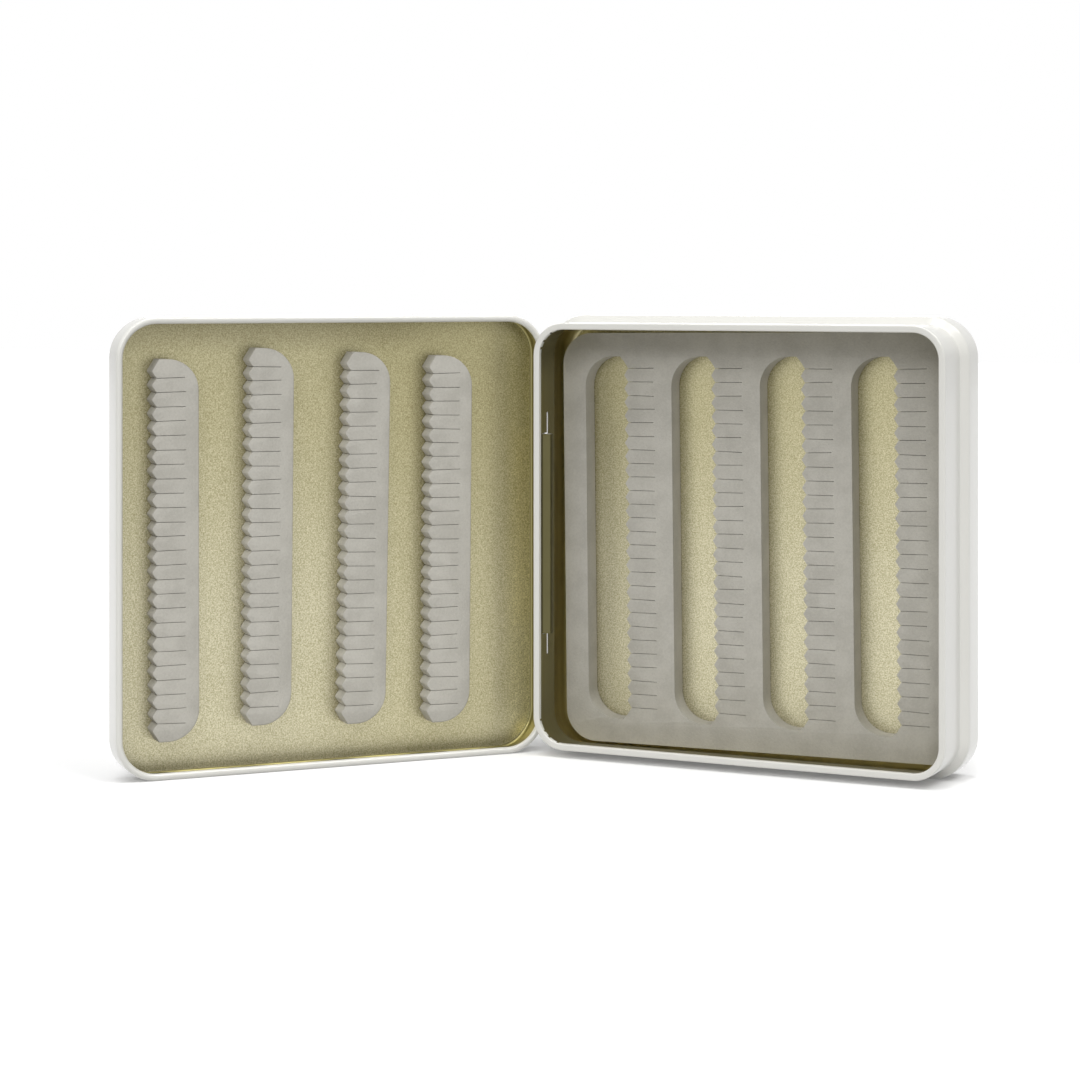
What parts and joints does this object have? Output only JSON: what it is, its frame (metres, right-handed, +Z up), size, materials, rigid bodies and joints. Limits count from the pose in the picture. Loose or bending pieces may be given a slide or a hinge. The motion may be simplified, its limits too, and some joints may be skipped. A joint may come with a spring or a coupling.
{
  "type": "fly box",
  "caption": "Square pocket tin for fishing flies, standing open: hinged shallow lid with foam strips, deeper base with slotted, slit foam insert.",
  "frame": {"origin": "centre of the bounding box of the open box, on the surface that it stands on", "axes": "+Z up, along the hinge; +Y out of the base's back panel; +X from the base's hinge side to its free side; the lid stands open towards -X and -Y"},
  "size_m": [0.1774, 0.0942, 0.105],
  "materials": {
    "enamelled_tinplate": "white enamel outside and over the rims, clear pale-gold lacquer inside",
    "slit_foam": "matt closed-cell EVA foam, grey with fine pores",
    "adhesive_film": "clear double-sided film"
  },
  "bodies": {
    "base": {"base_tray": "enamelled_tinplate", "base_foam_insert": "slit_foam", "insert_adhesive": "adhesive_film"},
    "lid": {"lid_shell": "enamelled_tinplate", "lid_foam_strip_1": "slit_foam", "lid_foam_strip_2": "slit_foam", "lid_foam_strip_3": "slit_foam", "lid_foam_strip_4": "slit_foam", "strip_adhesive_1": "adhesive_film", "strip_adhesive_2": "adhesive_film", "strip_adhesive_3": "adhesive_film", "strip_adhesive_4": "adhesive_film"}
  },
  "joints": [
    {"name": "lid_hinge", "type": "hinge", "parent": "base", "child": "lid", "pos_m": [-0.01548, 0.0317, 0.0525], "axis": [0, 0, 1], "range_deg": [0, 131]}
  ]
}
